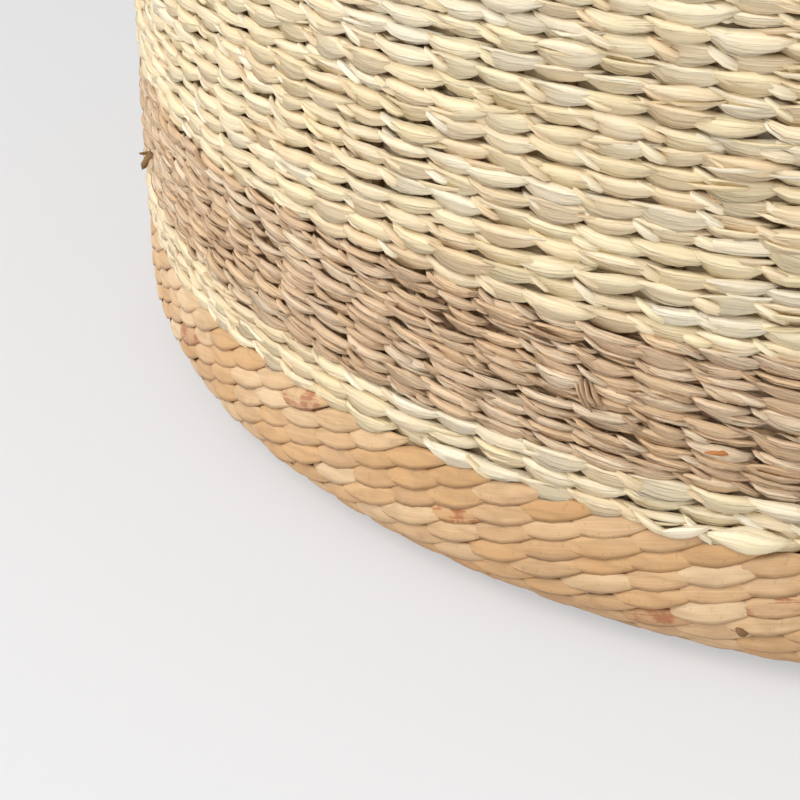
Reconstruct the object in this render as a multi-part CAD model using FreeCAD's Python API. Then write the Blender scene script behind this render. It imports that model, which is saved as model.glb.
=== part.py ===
import FreeCAD, Part
import math
import os

# Round market basket, twined from flat leaf strands on upright stakes, with two hinged handles.
# Millimetres, +Z up, origin at the middle of the underside. The handles are at the front (-Y)
# and the back (+Y), each on a hinge line parallel to X through the rim.

# ---- driving dimensions -------------------------------------------------------------------
BODY_HEIGHT = 300.0          # floor to the top of the rim
FOOT_RADIUS = 199.0          # outside of the wall just above the rounded bottom edge
CORNER_RADIUS = 16.0         # outside radius of the rounded bottom edge
WALL_FLARE = math.radians(0.5)   # the wall leans outward by this much

PLY = 2.2                    # thickness of the outer or the inner layer of strands
STAKE_RADIUS = 1.1           # one upright stake
STAKE_PITCH = 11.1           # spacing of the stakes round the foot of the wall
STAKE_CLEARANCE = 0.1        # between a stake and the strands each side of it

# heights of the tops of the coloured bands on the wall
HYACINTH_TOP = 29.4
LOWER_CREAM_TOP = 40.0
BROWN_TOP = 67.6
RIM_COURSE_HEIGHT = 20.0     # the last rows, which carry the handle windows

# base
CENTRE_DISC_RADIUS = 14.0    # knotted centre that the base starts from
BASE_STAKE_COUNT = 30        # stakes that radiate from the centre disc
ADDED_STAKE_START = 61.0     # radius where twice as many stakes take over
WALL_STAKE_START = 115.0     # radius where the wall stakes take over from those
END_CLEARANCE = 0.2          # between the ends of pieces that meet

# rim
RIM_CORE_RADIUS = 3.2        # hoop inside the rim
RIM_WRAP_RADIUS = 5.5        # outside of the strand wrapped round the hoop
WRAP_CLEARANCE = 0.1         # between a core and its wrapping
RIM_SEAT = 0.1               # between the wall's top edge and the rim

# handles
HANDLE_GAPS_FROM_MIDDLE = 7.5    # stake gaps from the middle of the handle to each of its eyes
HANDLE_LEG = 70.0            # straight leg, from the hinge line up to the arch
HANDLE_CORE_RADIUS = 3.2
HANDLE_WRAP_RADIUS = 5.2
EYE_STRAND_RADIUS = 2.8
EYE_CLEARANCE = 1.7          # between the eye's strand and the rim that it goes round
EYE_STEM = 22.0              # stem of the eye, up inside the wrapping
LEG_CLEARANCE = 1.2          # between the eye's ring and the lower end of the wrapping
LASHING_LENGTH = 15.0
LASHING_CORD = 1.3           # thickness of the cord wound round the foot of each leg
WINDOW_CLEARANCE = 0.8       # round the eye's strand where it goes through the wall

# ---- what follows from them ---------------------------------------------------------------
STAKE_COUNT = 4 * round(math.pi * FOOT_RADIUS / (2 * STAKE_PITCH))   # equal in each quarter
STAKE_LAYER = 2 * (STAKE_RADIUS + STAKE_CLEARANCE)
WALL = 2 * PLY + STAKE_LAYER
STAKE_DEPTH = PLY + STAKE_LAYER / 2           # from the outer surface to the stake's middle
CORNER_CENTRE = FOOT_RADIUS - CORNER_RADIUS   # radius of the centre of the rounded edge
RIM_HEIGHT = BODY_HEIGHT - RIM_WRAP_RADIUS    # height of the middle of the rim
WALL_TOP = RIM_HEIGHT - RIM_WRAP_RADIUS - RIM_SEAT
RIM_COURSE_BOTTOM = WALL_TOP - RIM_COURSE_HEIGHT


def wall_radius(height, depth):
    """Radius of the wall at a height, at a depth inward from its outer surface."""
    reach = CORNER_RADIUS - depth
    rise = height - CORNER_RADIUS + reach * math.sin(WALL_FLARE)
    return CORNER_CENTRE + reach * math.cos(WALL_FLARE) + rise * math.tan(WALL_FLARE)


def corner_point(angle, depth):
    """Point (radius, height) on the rounded edge: 0 is its lowest point, 90 degrees the wall."""
    reach = CORNER_RADIUS - depth
    return (CORNER_CENTRE + reach * math.sin(angle), CORNER_RADIUS - reach * math.cos(angle))


RIM_RADIUS = wall_radius(RIM_HEIGHT, STAKE_DEPTH)
HANDLE_ANGLE = math.radians(360.0 / STAKE_COUNT * HANDLE_GAPS_FROM_MIDDLE)
EYE_RADIUS = RIM_WRAP_RADIUS + EYE_CLEARANCE + EYE_STRAND_RADIUS   # hinge line to the strand
EYE_STEM_TOP = EYE_RADIUS + EYE_STEM
LEG_START = EYE_RADIUS + EYE_STRAND_RADIUS + LEG_CLEARANCE
EYE_X = RIM_RADIUS * math.sin(HANDLE_ANGLE)
EYE_Y = RIM_RADIUS * math.cos(HANDLE_ANGLE)


def vec(x, y, z):
    return FreeCAD.Vector(x, y, z)


def section(points):
    """Points (radius, height) as vectors in the XZ plane."""
    return [vec(radius, 0, height) for radius, height in points]


def revolve(edges):
    """Closed profile in the XZ plane, turned once round the Z axis."""
    face = Part.Face(Part.Wire(edges))
    return face.revolve(vec(0, 0, 0), vec(0, 0, 1), 360)


def ring_of(points):
    """Polygon of (radius, height) points, turned once round the Z axis."""
    corners = section(points)
    return revolve(Part.makePolygon(corners + corners[:1]).Edges)


def wall_band(bottom, top, depth):
    """One layer of a wall band, one ply thick, whose outer face is at the given depth."""
    return ring_of([
        (wall_radius(bottom, depth), bottom),
        (wall_radius(top, depth), top),
        (wall_radius(top, depth + PLY), top),
        (wall_radius(bottom, depth + PLY), bottom),
    ])


def foot_band(top, depth):
    """One layer of the lowest band: from the base, round the bottom edge, up to a height."""
    end = math.pi / 2 - WALL_FLARE
    inner = depth + PLY
    outside = section([corner_point(0, depth), corner_point(end / 2, depth),
                       corner_point(end, depth), (wall_radius(top, depth), top)])
    inside = section([(wall_radius(top, inner), top), corner_point(end, inner),
                      corner_point(end / 2, inner), corner_point(0, inner)])
    return revolve([
        Part.Arc(*outside[:3]).toShape(),
        Part.makeLine(outside[2], outside[3]),
        Part.makeLine(outside[3], inside[0]),
        Part.makeLine(inside[0], inside[1]),
        Part.Arc(*inside[1:]).toShape(),
        Part.makeLine(inside[3], outside[0]),
    ])


def rod(path, radius):
    """Round rod along a path of edges."""
    wire = Part.Wire(path)
    start = wire.Edges[0]
    first = start.FirstParameter
    tip = Part.Circle(start.valueAt(first), start.tangentAt(first), radius).toShape()
    return wire.makePipeShell([Part.Wire(tip)], True, False)


def repeated(shape, count, first_angle=0.0):
    """Copies of a shape, evenly spaced round the Z axis, as one compound."""
    copies = []
    for index in range(count):
        copy = shape.copy()
        copy.rotate(vec(0, 0, 0), vec(0, 0, 1), first_angle + 360.0 * index / count)
        copies.append(copy)
    return Part.makeCompound(copies)


# ---- base ---------------------------------------------------------------------------------
def base_centre_disc():
    return Part.makeCylinder(CENTRE_DISC_RADIUS, WALL)


def flat_stakes(start, end, count):
    """Straight stakes along radii of the base, between two radii."""
    length = end - start - 2 * END_CLEARANCE
    foot = vec(start + END_CLEARANCE, 0, STAKE_DEPTH)
    return repeated(Part.makeCylinder(STAKE_RADIUS, length, foot, vec(1, 0, 0)), count)


def base_layer(depth):
    """Flat ring of strands from the centre disc out to the rounded edge."""
    inner = CENTRE_DISC_RADIUS
    return ring_of([(inner, depth), (CORNER_CENTRE, depth),
                    (CORNER_CENTRE, depth + PLY), (inner, depth + PLY)])


# ---- wall ---------------------------------------------------------------------------------
def wall_stakes():
    """Stakes that run out along the base, bend up at the edge and stop under the rim."""
    end = math.pi / 2 - WALL_FLARE
    points = section([
        (WALL_STAKE_START, STAKE_DEPTH),
        corner_point(0, STAKE_DEPTH),
        corner_point(end / 2, STAKE_DEPTH),
        corner_point(end, STAKE_DEPTH),
        (wall_radius(WALL_TOP, STAKE_DEPTH), WALL_TOP),
    ])
    stake = rod([
        Part.makeLine(points[0], points[1]),
        Part.Arc(*points[1:4]).toShape(),
        Part.makeLine(points[3], points[4]),
    ], STAKE_RADIUS)
    return repeated(stake, STAKE_COUNT)


def rim_course(depth):
    """Top rows under the rim, with a window between two stakes for each handle eye."""
    shape = wall_band(RIM_COURSE_BOTTOM, WALL_TOP, depth)
    half = EYE_STRAND_RADIUS + WINDOW_CLEARANCE
    sill = RIM_HEIGHT - EYE_RADIUS - half
    for side_x in (-1, 1):
        for side_y in (-1, 1):
            low_y = min(side_y * (EYE_Y - 2 * WALL), side_y * (EYE_Y + 2 * WALL))
            window = Part.makeBox(2 * half, 4 * WALL, RIM_HEIGHT - sill,
                                  vec(side_x * EYE_X - half, low_y, sill))
            shape = shape.cut(window)
    return shape


# ---- rim ----------------------------------------------------------------------------------
def torus_at_rim(radius):
    return Part.makeTorus(RIM_RADIUS, radius, vec(0, 0, RIM_HEIGHT))


def rim_wrap():
    return torus_at_rim(RIM_WRAP_RADIUS).cut(torus_at_rim(RIM_CORE_RADIUS + WRAP_CLEARANCE))


# ---- handles ------------------------------------------------------------------------------
def handle_path(start_above_hinge):
    """Left leg, half-round arch and right leg of a handle, from a height above the hinge."""
    foot = RIM_HEIGHT + start_above_hinge
    shoulder = RIM_HEIGHT + HANDLE_LEG
    left, right = -EYE_X, EYE_X
    return [
        Part.makeLine(vec(left, -EYE_Y, foot), vec(left, -EYE_Y, shoulder)),
        Part.Arc(vec(left, -EYE_Y, shoulder), vec(0, -EYE_Y, shoulder + EYE_X),
                 vec(right, -EYE_Y, shoulder)).toShape(),
        Part.makeLine(vec(right, -EYE_Y, shoulder), vec(right, -EYE_Y, foot)),
    ]


def handle_core():
    return rod(handle_path(EYE_STEM_TOP + END_CLEARANCE), HANDLE_CORE_RADIUS)


def handle_wrap():
    path = handle_path(LEG_START)
    return rod(path, HANDLE_WRAP_RADIUS).cut(rod(path, HANDLE_CORE_RADIUS + WRAP_CLEARANCE))


def handle_eye(side):
    """Ring round the rim, in a plane across the hinge line, with a stem up into the leg."""
    centre = vec(side * EYE_X, -EYE_Y, RIM_HEIGHT)
    ring = Part.makeTorus(EYE_RADIUS, EYE_STRAND_RADIUS, centre, vec(1, 0, 0))
    stem = Part.makeCylinder(HANDLE_CORE_RADIUS, EYE_STEM,
                             centre + vec(0, 0, EYE_RADIUS), vec(0, 0, 1))
    return ring.fuse(stem)


def handle_lashing(side):
    """Cord wound round the foot of the leg, over the wrapping."""
    foot = vec(side * EYE_X, -EYE_Y, RIM_HEIGHT + LEG_START)
    bore = HANDLE_WRAP_RADIUS + WRAP_CLEARANCE
    outside = Part.makeCylinder(bore + LASHING_CORD, LASHING_LENGTH, foot)
    return outside.cut(Part.makeCylinder(bore, LASHING_LENGTH, foot))


def at_back(shape):
    """The same piece on the back handle: the front one turned half round."""
    copy = shape.copy()
    copy.rotate(vec(0, 0, 0), vec(0, 0, 1), 180)
    return copy


def save(node, shape):
    shape.exportStep("parts/" + node + ".step")
    print(node, len(shape.Solids), "solids", "valid" if shape.isValid() else "NOT VALID")


os.makedirs("parts", exist_ok=True)

inner_depth = PLY + STAKE_LAYER
save("base_centre_disc", base_centre_disc())
save("base_stakes", flat_stakes(CENTRE_DISC_RADIUS, ADDED_STAKE_START, BASE_STAKE_COUNT))
save("base_added_stakes", flat_stakes(ADDED_STAKE_START, WALL_STAKE_START, 2 * BASE_STAKE_COUNT))
save("base_outer_weft", base_layer(0.0))
save("base_inner_weft", base_layer(inner_depth))
save("wall_stakes", wall_stakes())
save("hyacinth_outer_weft", foot_band(HYACINTH_TOP, 0.0))
save("hyacinth_inner_weft", foot_band(HYACINTH_TOP, inner_depth))
bands = {
    "lower_cream": (HYACINTH_TOP, LOWER_CREAM_TOP),
    "brown": (LOWER_CREAM_TOP, BROWN_TOP),
    "upper_cream": (BROWN_TOP, RIM_COURSE_BOTTOM),
}
for name, (bottom, top) in bands.items():
    save(name + "_outer_weft", wall_band(bottom, top, 0.0))
    save(name + "_inner_weft", wall_band(bottom, top, inner_depth))
save("rim_course_outer_weft", rim_course(0.0))
save("rim_course_inner_weft", rim_course(inner_depth))
save("rim_hoop", torus_at_rim(RIM_CORE_RADIUS))
save("rim_wrap", rim_wrap())

front = {
    "handle_core": handle_core(),
    "handle_wrap": handle_wrap(),
    "handle_left_eye": handle_eye(-1),
    "handle_right_eye": handle_eye(1),
    "handle_left_lashing": handle_lashing(-1),
    "handle_right_lashing": handle_lashing(1),
}
for name, shape in front.items():
    save("front_" + name, shape)
    save("back_" + name, at_back(shape))
print("rim radius", RIM_RADIUS, "hinge x", EYE_X, "y", EYE_Y, "z", RIM_HEIGHT, "wall", WALL)
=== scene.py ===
# %% [markdown]
# # A market basket, twined from leaf strands
#
# The basket is made the way a maker makes it: upright stakes first, then rows of two leaf
# strands twisted round each other, with a stake held in every half turn. Everything below
# is worked out from one idea, a leaf laid over each stake of its row, and from the frame,
# which says how big the basket is.

# %% Load the frame
import bmesh
import bpy
import math
import numpy as np
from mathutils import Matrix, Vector


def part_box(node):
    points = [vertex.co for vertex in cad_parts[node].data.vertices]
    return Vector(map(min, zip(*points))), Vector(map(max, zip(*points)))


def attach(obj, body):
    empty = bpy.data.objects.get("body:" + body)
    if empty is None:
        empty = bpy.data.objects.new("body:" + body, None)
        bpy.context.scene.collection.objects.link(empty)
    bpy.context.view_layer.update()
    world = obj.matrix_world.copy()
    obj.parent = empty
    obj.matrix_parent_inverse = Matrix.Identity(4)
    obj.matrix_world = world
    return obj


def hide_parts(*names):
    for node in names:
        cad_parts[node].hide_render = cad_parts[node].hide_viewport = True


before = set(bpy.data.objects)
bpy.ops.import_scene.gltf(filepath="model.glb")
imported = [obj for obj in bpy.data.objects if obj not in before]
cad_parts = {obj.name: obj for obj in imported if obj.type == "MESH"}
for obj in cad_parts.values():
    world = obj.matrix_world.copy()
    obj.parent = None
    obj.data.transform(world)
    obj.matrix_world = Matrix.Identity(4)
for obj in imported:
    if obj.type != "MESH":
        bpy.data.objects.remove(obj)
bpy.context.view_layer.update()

# %% [markdown]
# ## The basket's own measures
# Every place is read from the frame. The wall is described by one line, the line of the
# stakes: flat along the base, round the bottom edge on an arc, then up the wall. A row of
# strands only needs to know how far along that line it lies.

# %% Measures from the frame
def low_high(node):
    """Lowest and highest corner of a node of the frame, as arrays."""
    low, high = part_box(node)
    return np.array(low), np.array(high)


foot_high = low_high("hyacinth_outer_weft")[1]
course_high = low_high("rim_course_outer_weft")[1]
base_high = low_high("base_outer_weft")[1]
disc_high = low_high("base_centre_disc")[1]
rim_low, rim_high = low_high("rim_wrap")
added_high = low_high("base_added_stakes")[1]
inner_high = low_high("base_stakes")[1]

WALL = disc_high[2]                          # thickness of the woven wall
STAKE_DEPTH = WALL / 2                       # the stakes run in the middle of it
CORNER_CENTRE = base_high[0]                 # where the rounded edge starts
CORNER_RADIUS = 0.016
DISC_RADIUS = disc_high[0]
ADDED_STAKE_START = inner_high[0]
WALL_STAKE_START = added_high[0]
WALL_TOP = course_high[2]
RIM_HEIGHT = (rim_low[2] + rim_high[2]) / 2
RIM_THICKNESS = (rim_high[2] - rim_low[2]) / 2
RIM_RADIUS = rim_high[0] - RIM_THICKNESS
LEAN = (course_high[0] - foot_high[0]) / (course_high[2] - foot_high[2])
STAKES = 112
FLOOR_GAP = 0.0001                            # the lowest leaves lie this far above the floor
BASE_STAKES = 30
BAND_TOP = {name: low_high(name + "_outer_weft")[1][2]
            for name in ("hyacinth", "lower_cream", "brown", "upper_cream")}
print("wall %.1f mm, rim radius %.1f mm, lean %.4f" % (WALL * 1e3, RIM_RADIUS * 1e3, LEAN))
print("band tops (mm)", {k: round(v * 1e3, 1) for k, v in BAND_TOP.items()})

# %% The line of the stakes
BEND = CORNER_RADIUS - STAKE_DEPTH           # radius of the stakes' own bend
BEND_LENGTH = BEND * math.pi / 2


def stake_line(distance):
    """Point and directions on the line of the stakes, at a distance along it.

    Distance 0 is where the base turns into the rounded edge. Below 0 the line is flat:
    radius = corner centre + distance. Then it is an arc: angle = distance / bend. Past the
    arc it climbs the wall, leaning out by LEAN. Returns radius, height, and the unit
    vectors (radial part, vertical part) along the line and out of the basket.
    """
    d = np.asarray(distance, float)
    angle = np.clip(d / BEND, 0.0, math.pi / 2)
    flat = np.minimum(d, 0.0)
    climb = np.maximum(d - BEND_LENGTH, 0.0)
    radius = CORNER_CENTRE + flat + BEND * np.sin(angle) + climb * LEAN
    height = CORNER_RADIUS - BEND * np.cos(angle) + climb
    along = np.stack([np.cos(angle), np.sin(angle)], -1)
    out = np.stack([np.sin(angle), -np.cos(angle)], -1)
    return radius, height, along, out


def distance_at_height(height):
    """Distance along the line of the stakes at which the wall has this height."""
    return BEND_LENGTH + height - CORNER_RADIUS


print("line length base to rim %.1f mm" % (1e3 * (CORNER_CENTRE + distance_at_height(WALL_TOP))))

# %% [markdown]
# ## A mesh from whole arrays
# Leaves and strands are rings of points, so one helper turns arrays of points and faces into
# a mesh. It also writes a UV map (metres along the strand, position across it from -1 to 1)
# and a number per leaf, which the materials use for fibres and colours.

# %% Meshes from arrays
rng = np.random.default_rng(42)


def mesh_piece(name, points, quads, uv, leaf, stain=None, tris=None):
    """Mesh object from points (n, 3), quads (m, 4) and triangles (k, 3), with foreach_set.

    uv has one row per face corner; leaf and stain one number per face, quads first.
    """
    tris = np.zeros((0, 3), int) if tris is None else tris
    corners = np.concatenate([quads.ravel(), tris.ravel()])
    starts = np.concatenate([np.arange(len(quads)) * 4, quads.size + np.arange(len(tris)) * 3])
    mesh = bpy.data.meshes.new(name)
    mesh.vertices.add(len(points))
    mesh.vertices.foreach_set("co", points.astype(np.float32).ravel())
    mesh.loops.add(len(corners))
    mesh.loops.foreach_set("vertex_index", corners.astype(np.int32))
    mesh.polygons.add(len(starts))
    mesh.polygons.foreach_set("loop_start", starts.astype(np.int32))
    mesh.polygons.foreach_set("use_smooth", np.ones(len(starts), bool))
    mesh.update(calc_edges=True)
    mesh.uv_layers.new(name="strand").data.foreach_set("uv", uv.astype(np.float32).ravel())
    for label, values in (("leaf", leaf), ("stain", stain)):
        values = np.zeros(len(starts)) if values is None else values
        mesh.attributes.new(label, "FLOAT", "FACE").data.foreach_set(
            "value", values.astype(np.float32).ravel())
    piece = bpy.data.objects.new(name, mesh)
    bpy.context.scene.collection.objects.link(piece)
    return piece


def tube_faces(tubes, rings, sides, closed):
    """Quads (tube, ring, side, 4) that join each ring of points to the next.

    Corner order runs ring, side, so that faces look outwards when the sides turn
    counter-clockwise as seen along the path from its start.
    """
    spans = rings if closed else rings - 1
    tube, ring, side = np.meshgrid(np.arange(tubes), np.arange(spans), np.arange(sides),
                                   indexing="ij")
    next_ring = (ring + 1) % rings
    next_side = (side + 1) % sides
    base = tube * rings * sides
    return np.stack([base + ring * sides + side, base + next_ring * sides + side,
                     base + next_ring * sides + next_side, base + ring * sides + next_side], -1)


# %% [markdown]
# ## How a twined row is shaped
# In two-strand twining each strand passes over one stake and under the next, and the two
# change places in every gap. What shows is a row of floats, one over each stake: a leaf that
# comes out of the wall on the left, lies over its stake, and goes in again on the right. A
# float is longer than the gap between stakes, so its pointed ends lie beside its neighbours'.
# Winding two long tubes round each other gives round ropes with deep valleys between them, so
# each float is laid here as a leaf of its own, with both ends sunk in the wall.

# %% One layer of floats
def leaf_section(style, crease):
    """Place across the leaf (-1 to 1) and height above it (metres) of each section point.

    A plain leaf is domed: height = dome * (1 - across squared). A folded one has a step of
    height "fold" where the crease is, with its upper half over the lower one. The last
    points of either are its back.
    """
    if style["points"] == 8:
        across = np.array([-1, -0.6, 0, 0.6, 1, 0.6, 0, -0.6])
        back = np.array([0, 0, 0, 0, 0, 1, 1, 1])
        across = np.broadcast_to(across, crease.shape + (8,))
        step = 0.0
    else:
        one = np.ones_like(crease)
        across = np.stack([-one, crease - 0.07, crease + 0.07, one, 0.6 * one, -0.6 * one], -1)
        back = np.array([0, 0, 0, 0, 1, 1])
        step = style["fold"] * np.array([0, -0.5, 0.5, 0, 0, 0])
    front = style["dome"] * (1 - across ** 2) + step
    return across, np.where(back == 1, -style["thickness"], front)


def lay_leaves(distance, place, stakes, style, side):
    """Points (leaf, ring, point, 3) of leaf floats, with metres along and place across each.

    s runs from -1 to 1 along a leaf. Half height = height / 2 * (1 - |s| ** point), with a
    blunter point_left where s is below 0. Middle line:
    along the row s * length / 2 stake gaps, up the wall tilt * that, out of the wall
    depth - sink * |s| ** dive. The left end hooks upwards, over the end of the neighbour:
    up the wall by hook * ((-s - 0.25) / 0.75) ** 1.5. The section is turned by lean =
    shingle + twist * s, so that the lower edge stands over the row below. Side is 1 outside
    the wall and -1 inside.
    """
    vary = lambda spread: rng.normal(0, spread, (len(distance), 1))
    s = np.linspace(-1, 1, style["rings"] + 2)[None, :]
    length = style["length"] * np.clip(1 + vary(style["length_spread"]), 0.7, 1.3)
    half = style["height"] / 2 * np.clip(1 + vary(style["height_spread"]), 0.6, 1.5)
    gaps = s * length / 2
    tilt = style["tilt"] + vary(style["tilt_spread"])
    sink = np.where(s < 0, style["sink_left"], style["sink_right"])
    middle_up = tilt * gaps + vary(style["wander"])
    hook = style["hook"] * np.clip(1 + vary(0.3), 0.2, 1.8)
    middle_up = middle_up + hook * np.clip((-s - 0.25) / 0.75, 0, 1) ** 1.5
    middle_out = style["depth"] + vary(style["proud"]) - sink * np.abs(s) ** style["dive"]
    lean = (style["shingle"] + style["twist"] * s + vary(style["roll_spread"]))[..., None]
    crease = np.clip(vary(style["crease_spread"]) - 0.75 * s, -0.7, 0.7)
    across, level = leaf_section(style, crease)
    point = np.where(s < 0, style["point_left"], style["point"])
    half = (half * (1 - np.abs(s) ** point))[..., None]
    level = level * np.minimum(half * 2 / style["height"] * 1.6, 1)
    up = middle_up[..., None] + across * half * np.cos(lean) + level * np.sin(lean)
    out = middle_out[..., None] + level * np.cos(lean) - across * half * np.sin(lean)
    radius, height, along, outward = stake_line(distance)
    grow = lambda values: values[:, None, None]
    r = grow(radius) + up * grow(along[:, 0]) + side * out * grow(outward[:, 0])
    z = grow(height) + up * grow(along[:, 1]) + side * out * grow(outward[:, 1])
    theta = (2 * math.pi * (place[:, None] + gaps) / stakes)[..., None]
    points = np.stack([r * np.cos(theta), r * np.sin(theta), np.maximum(z, FLOOR_GAP)], -1)
    metres = gaps * (2 * math.pi * radius / stakes)[:, None] + rng.uniform(0, 5, (len(distance), 1))
    return points, metres, across


def leaf_layer(distance, place, stakes, style, side, shade, stain):
    """Closed leaves as (points, quads, triangles, uv, shades, stains): rings between two poles."""
    points, metres, across = lay_leaves(distance, place, stakes, style, side)
    leaves, stations, sides, _ = points.shape
    rings = stations - 2
    last = rings * sides + 1
    flat = lambda values: values[:, 1:-1].reshape(leaves, rings * sides, -1)
    joined = np.concatenate([points[:, 0, :1], flat(points), points[:, -1, :1]], 1)
    along = np.broadcast_to(metres[..., None], across.shape)
    uv = np.stack([along, across], -1)
    pole = lambda k: np.stack([metres[:, k], np.zeros(leaves)], -1)[:, None]
    uv = np.concatenate([pole(0), flat(uv), pole(-1)], 1)
    ring, point = np.meshgrid(np.arange(rings - 1), np.arange(sides), indexing="ij")
    after = (point + 1) % sides
    quads = 1 + np.stack([ring * sides + point, (ring + 1) * sides + point,
                          (ring + 1) * sides + after, ring * sides + after], -1).reshape(-1, 4)
    edge, following = np.arange(sides), (np.arange(sides) + 1) % sides
    top = 1 + (rings - 1) * sides
    tris = np.concatenate([np.stack([edge * 0, 1 + edge, 1 + following], -1),
                           np.stack([edge * 0 + last, top + following, top + edge], -1)])
    if side < 0:
        quads, tris = quads[:, ::-1], tris[:, ::-1]
    first = (np.arange(leaves) * (last + 1))[:, None, None]
    each = lambda values, faces: np.repeat(values, len(faces))
    return (joined.reshape(-1, 3), (quads + first).reshape(-1, 4), (tris + first).reshape(-1, 3),
            uv.reshape(-1, 2), (each(shade, quads), each(shade, tris)),
            (each(stain, quads), each(stain, tris)))


def leaf_piece(name, layers):
    """One mesh of several layers of leaves."""
    offsets = np.cumsum([0] + [len(layer[0]) for layer in layers])
    points = np.concatenate([layer[0] for layer in layers])
    quads = np.concatenate([layer[1] + offset for layer, offset in zip(layers, offsets)])
    tris = np.concatenate([layer[2] + offset for layer, offset in zip(layers, offsets)])
    uv = np.concatenate([layer[3] for layer in layers])
    uv = uv[np.concatenate([quads.ravel(), tris.ravel()])]
    both = lambda k: np.concatenate([layer[k][0] for layer in layers] + [layer[k][1] for layer in layers])
    piece = mesh_piece(name, points, quads, uv, both(4), both(5), tris)
    print("%-26s %7d triangles" % (name, 2 * len(quads) + len(tris)))
    return piece


# %% [markdown]
# ## Three kinds of strand
# The foot is water hyacinth: broad flat leaf, smooth and even, laid like scales. The cream
# strand is a narrower leaf, folded once along itself and twisted as it is worked. The brown
# strand is fine and stringy. Only the numbers differ.

# %% Strand styles, in metres, stake gaps and radians
HYACINTH = dict(rings=7, points=8, length=1.98, height=0.0057, point=1.45, point_left=1.45,
                tilt=0.0032, hook=0.0,
                depth=0.0026, sink_left=0.0015, sink_right=0.0017, dive=4.6, dome=0.0005,
                thickness=0.0008, shingle=0.13, twist=0.0, fold=0.0, length_spread=0.03,
                height_spread=0.06, tilt_spread=0.0001, wander=0.0001, proud=0.0001,
                roll_spread=0.03, crease_spread=0.2, stagger=0.02, row_shift=0.04, leaf_length=3)
CREAM = dict(rings=6, points=6, length=1.62, height=0.0042, point=1.8, point_left=3.0,
             tilt=0.0014, hook=0.0024, depth=0.0022, sink_left=0.0010, sink_right=0.0024,
             dive=2.8, dome=0.0008,
             thickness=0.0009, shingle=0.12, twist=0.35, fold=0.0010, length_spread=0.08,
             height_spread=0.13, tilt_spread=0.0004, wander=0.0002, proud=0.0003,
             roll_spread=0.12, crease_spread=0.35, stagger=0.05, row_shift=0.10, leaf_length=4)
BROWN = dict(rings=5, points=6, length=1.36, height=0.0025, point=1.8, point_left=3.0,
             tilt=0.0002, hook=0.0014, depth=0.0023, sink_left=0.0008, sink_right=0.0020,
             dive=2.4, dome=0.0008,
             thickness=0.0008, shingle=0.08, twist=0.40, fold=0.0006, length_spread=0.14,
             height_spread=0.20, tilt_spread=0.0005, wander=0.0003, proud=0.0003,
             roll_spread=0.2, crease_spread=0.35, stagger=0.10, row_shift=0.16, leaf_length=4)
CREAM_SLIVER = dict(CREAM, length=1.35, height=0.0010, tilt=0.0012, depth=0.0027, dome=0.0003, rings=3,
                    tilt_spread=0.0006, wander=0.0010, stagger=0.30, fold=0.0, hook=0.0008)
CREAM_TWIST = dict(CREAM, length=0.80, height=0.0024, tilt=-0.0040, depth=0.0024, dome=0.0006, rings=3,
                   tilt_spread=0.0012, wander=0.0003, fold=0.0, hook=0.0, sink_left=0.0020,
                   shingle=-0.2)
BROWN_SLIVER = dict(BROWN, length=1.1, height=0.0006, tilt=-0.0006, depth=0.0028, dome=0.0002, rings=3,
                    tilt_spread=0.0008, wander=0.0008, stagger=0.40, fold=0.0, hook=0.0006)
BROWN_TWIST = dict(BROWN, length=0.70, height=0.0014, tilt=-0.0032, depth=0.0026, dome=0.0004, rings=3,
                   tilt_spread=0.0010, wander=0.0003, fold=0.0, hook=0.0, sink_left=0.0018,
                   shingle=-0.2)
# what is laid over the floats of each kind: style, share of stakes, place and its spread
CREAM_OVERLAYS = ((CREAM_SLIVER, 0.30, 0.0, 0.3), (CREAM_TWIST, 0.75, 0.5, 0.08))
BROWN_OVERLAYS = ((BROWN_SLIVER, 0.50, 0.0, 0.3), (BROWN_TWIST, 0.85, 0.5, 0.16))
BASE = dict(HYACINTH, rings=4, points=6)
INSIDE = dict(rings=3, points=6)


def row_centres(start, end, pitch):
    """Evenly spaced row centres that fill the line of the stakes from start to end."""
    count = max(1, round((end - start) / pitch))
    return start + (end - start) * (np.arange(count) + 0.5) / count


# %% Where each band's rows lie
edge_of = {name: distance_at_height(top) for name, top in BAND_TOP.items()}
FOOT_ROWS = row_centres(0.0, edge_of["hyacinth"], 0.0041)
LOWER_CREAM_ROWS = row_centres(edge_of["hyacinth"], edge_of["lower_cream"], 0.0036)
BROWN_ROWS = row_centres(edge_of["lower_cream"], edge_of["brown"], 0.0023)
UPPER_ROWS = row_centres(edge_of["brown"], distance_at_height(WALL_TOP), 0.0037)
print("rows: foot %d, lower cream %d, brown %d, upper %d"
      % (len(FOOT_ROWS), len(LOWER_CREAM_ROWS), len(BROWN_ROWS), len(UPPER_ROWS)))

# %% [markdown]
# ## Leaf as a material
# Dried leaf has three scales of detail: fibres that run along it, creases that cross it at a
# slant where it was twisted, and a shade that differs from leaf to leaf. The first two are
# node groups that every strand shares; the tones belong to each material. Creases, cracks and
# leaf edges are also darkened in colour, as painted shade.

# %% Node helpers
def add_node(tree, kind, **inputs):
    """New node of a kind, with input sockets set by name or linked to other sockets."""
    node = tree.nodes.new(kind)
    for key, value in inputs.items():
        socket = node.inputs[int(key[1:])] if key[0] == "_" else node.inputs[key.replace("_", " ")]
        if isinstance(value, bpy.types.NodeSocket):
            tree.links.new(value, socket)
        else:
            socket.default_value = value
    return node


def math_node(tree, operation, a, b=0.0, c=0.0, clamp=False):
    """Math node; returns its output socket."""
    node = add_node(tree, "ShaderNodeMath", _0=a, _1=b, _2=c)
    node.operation = operation
    node.use_clamp = clamp
    return node.outputs[0]


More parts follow.
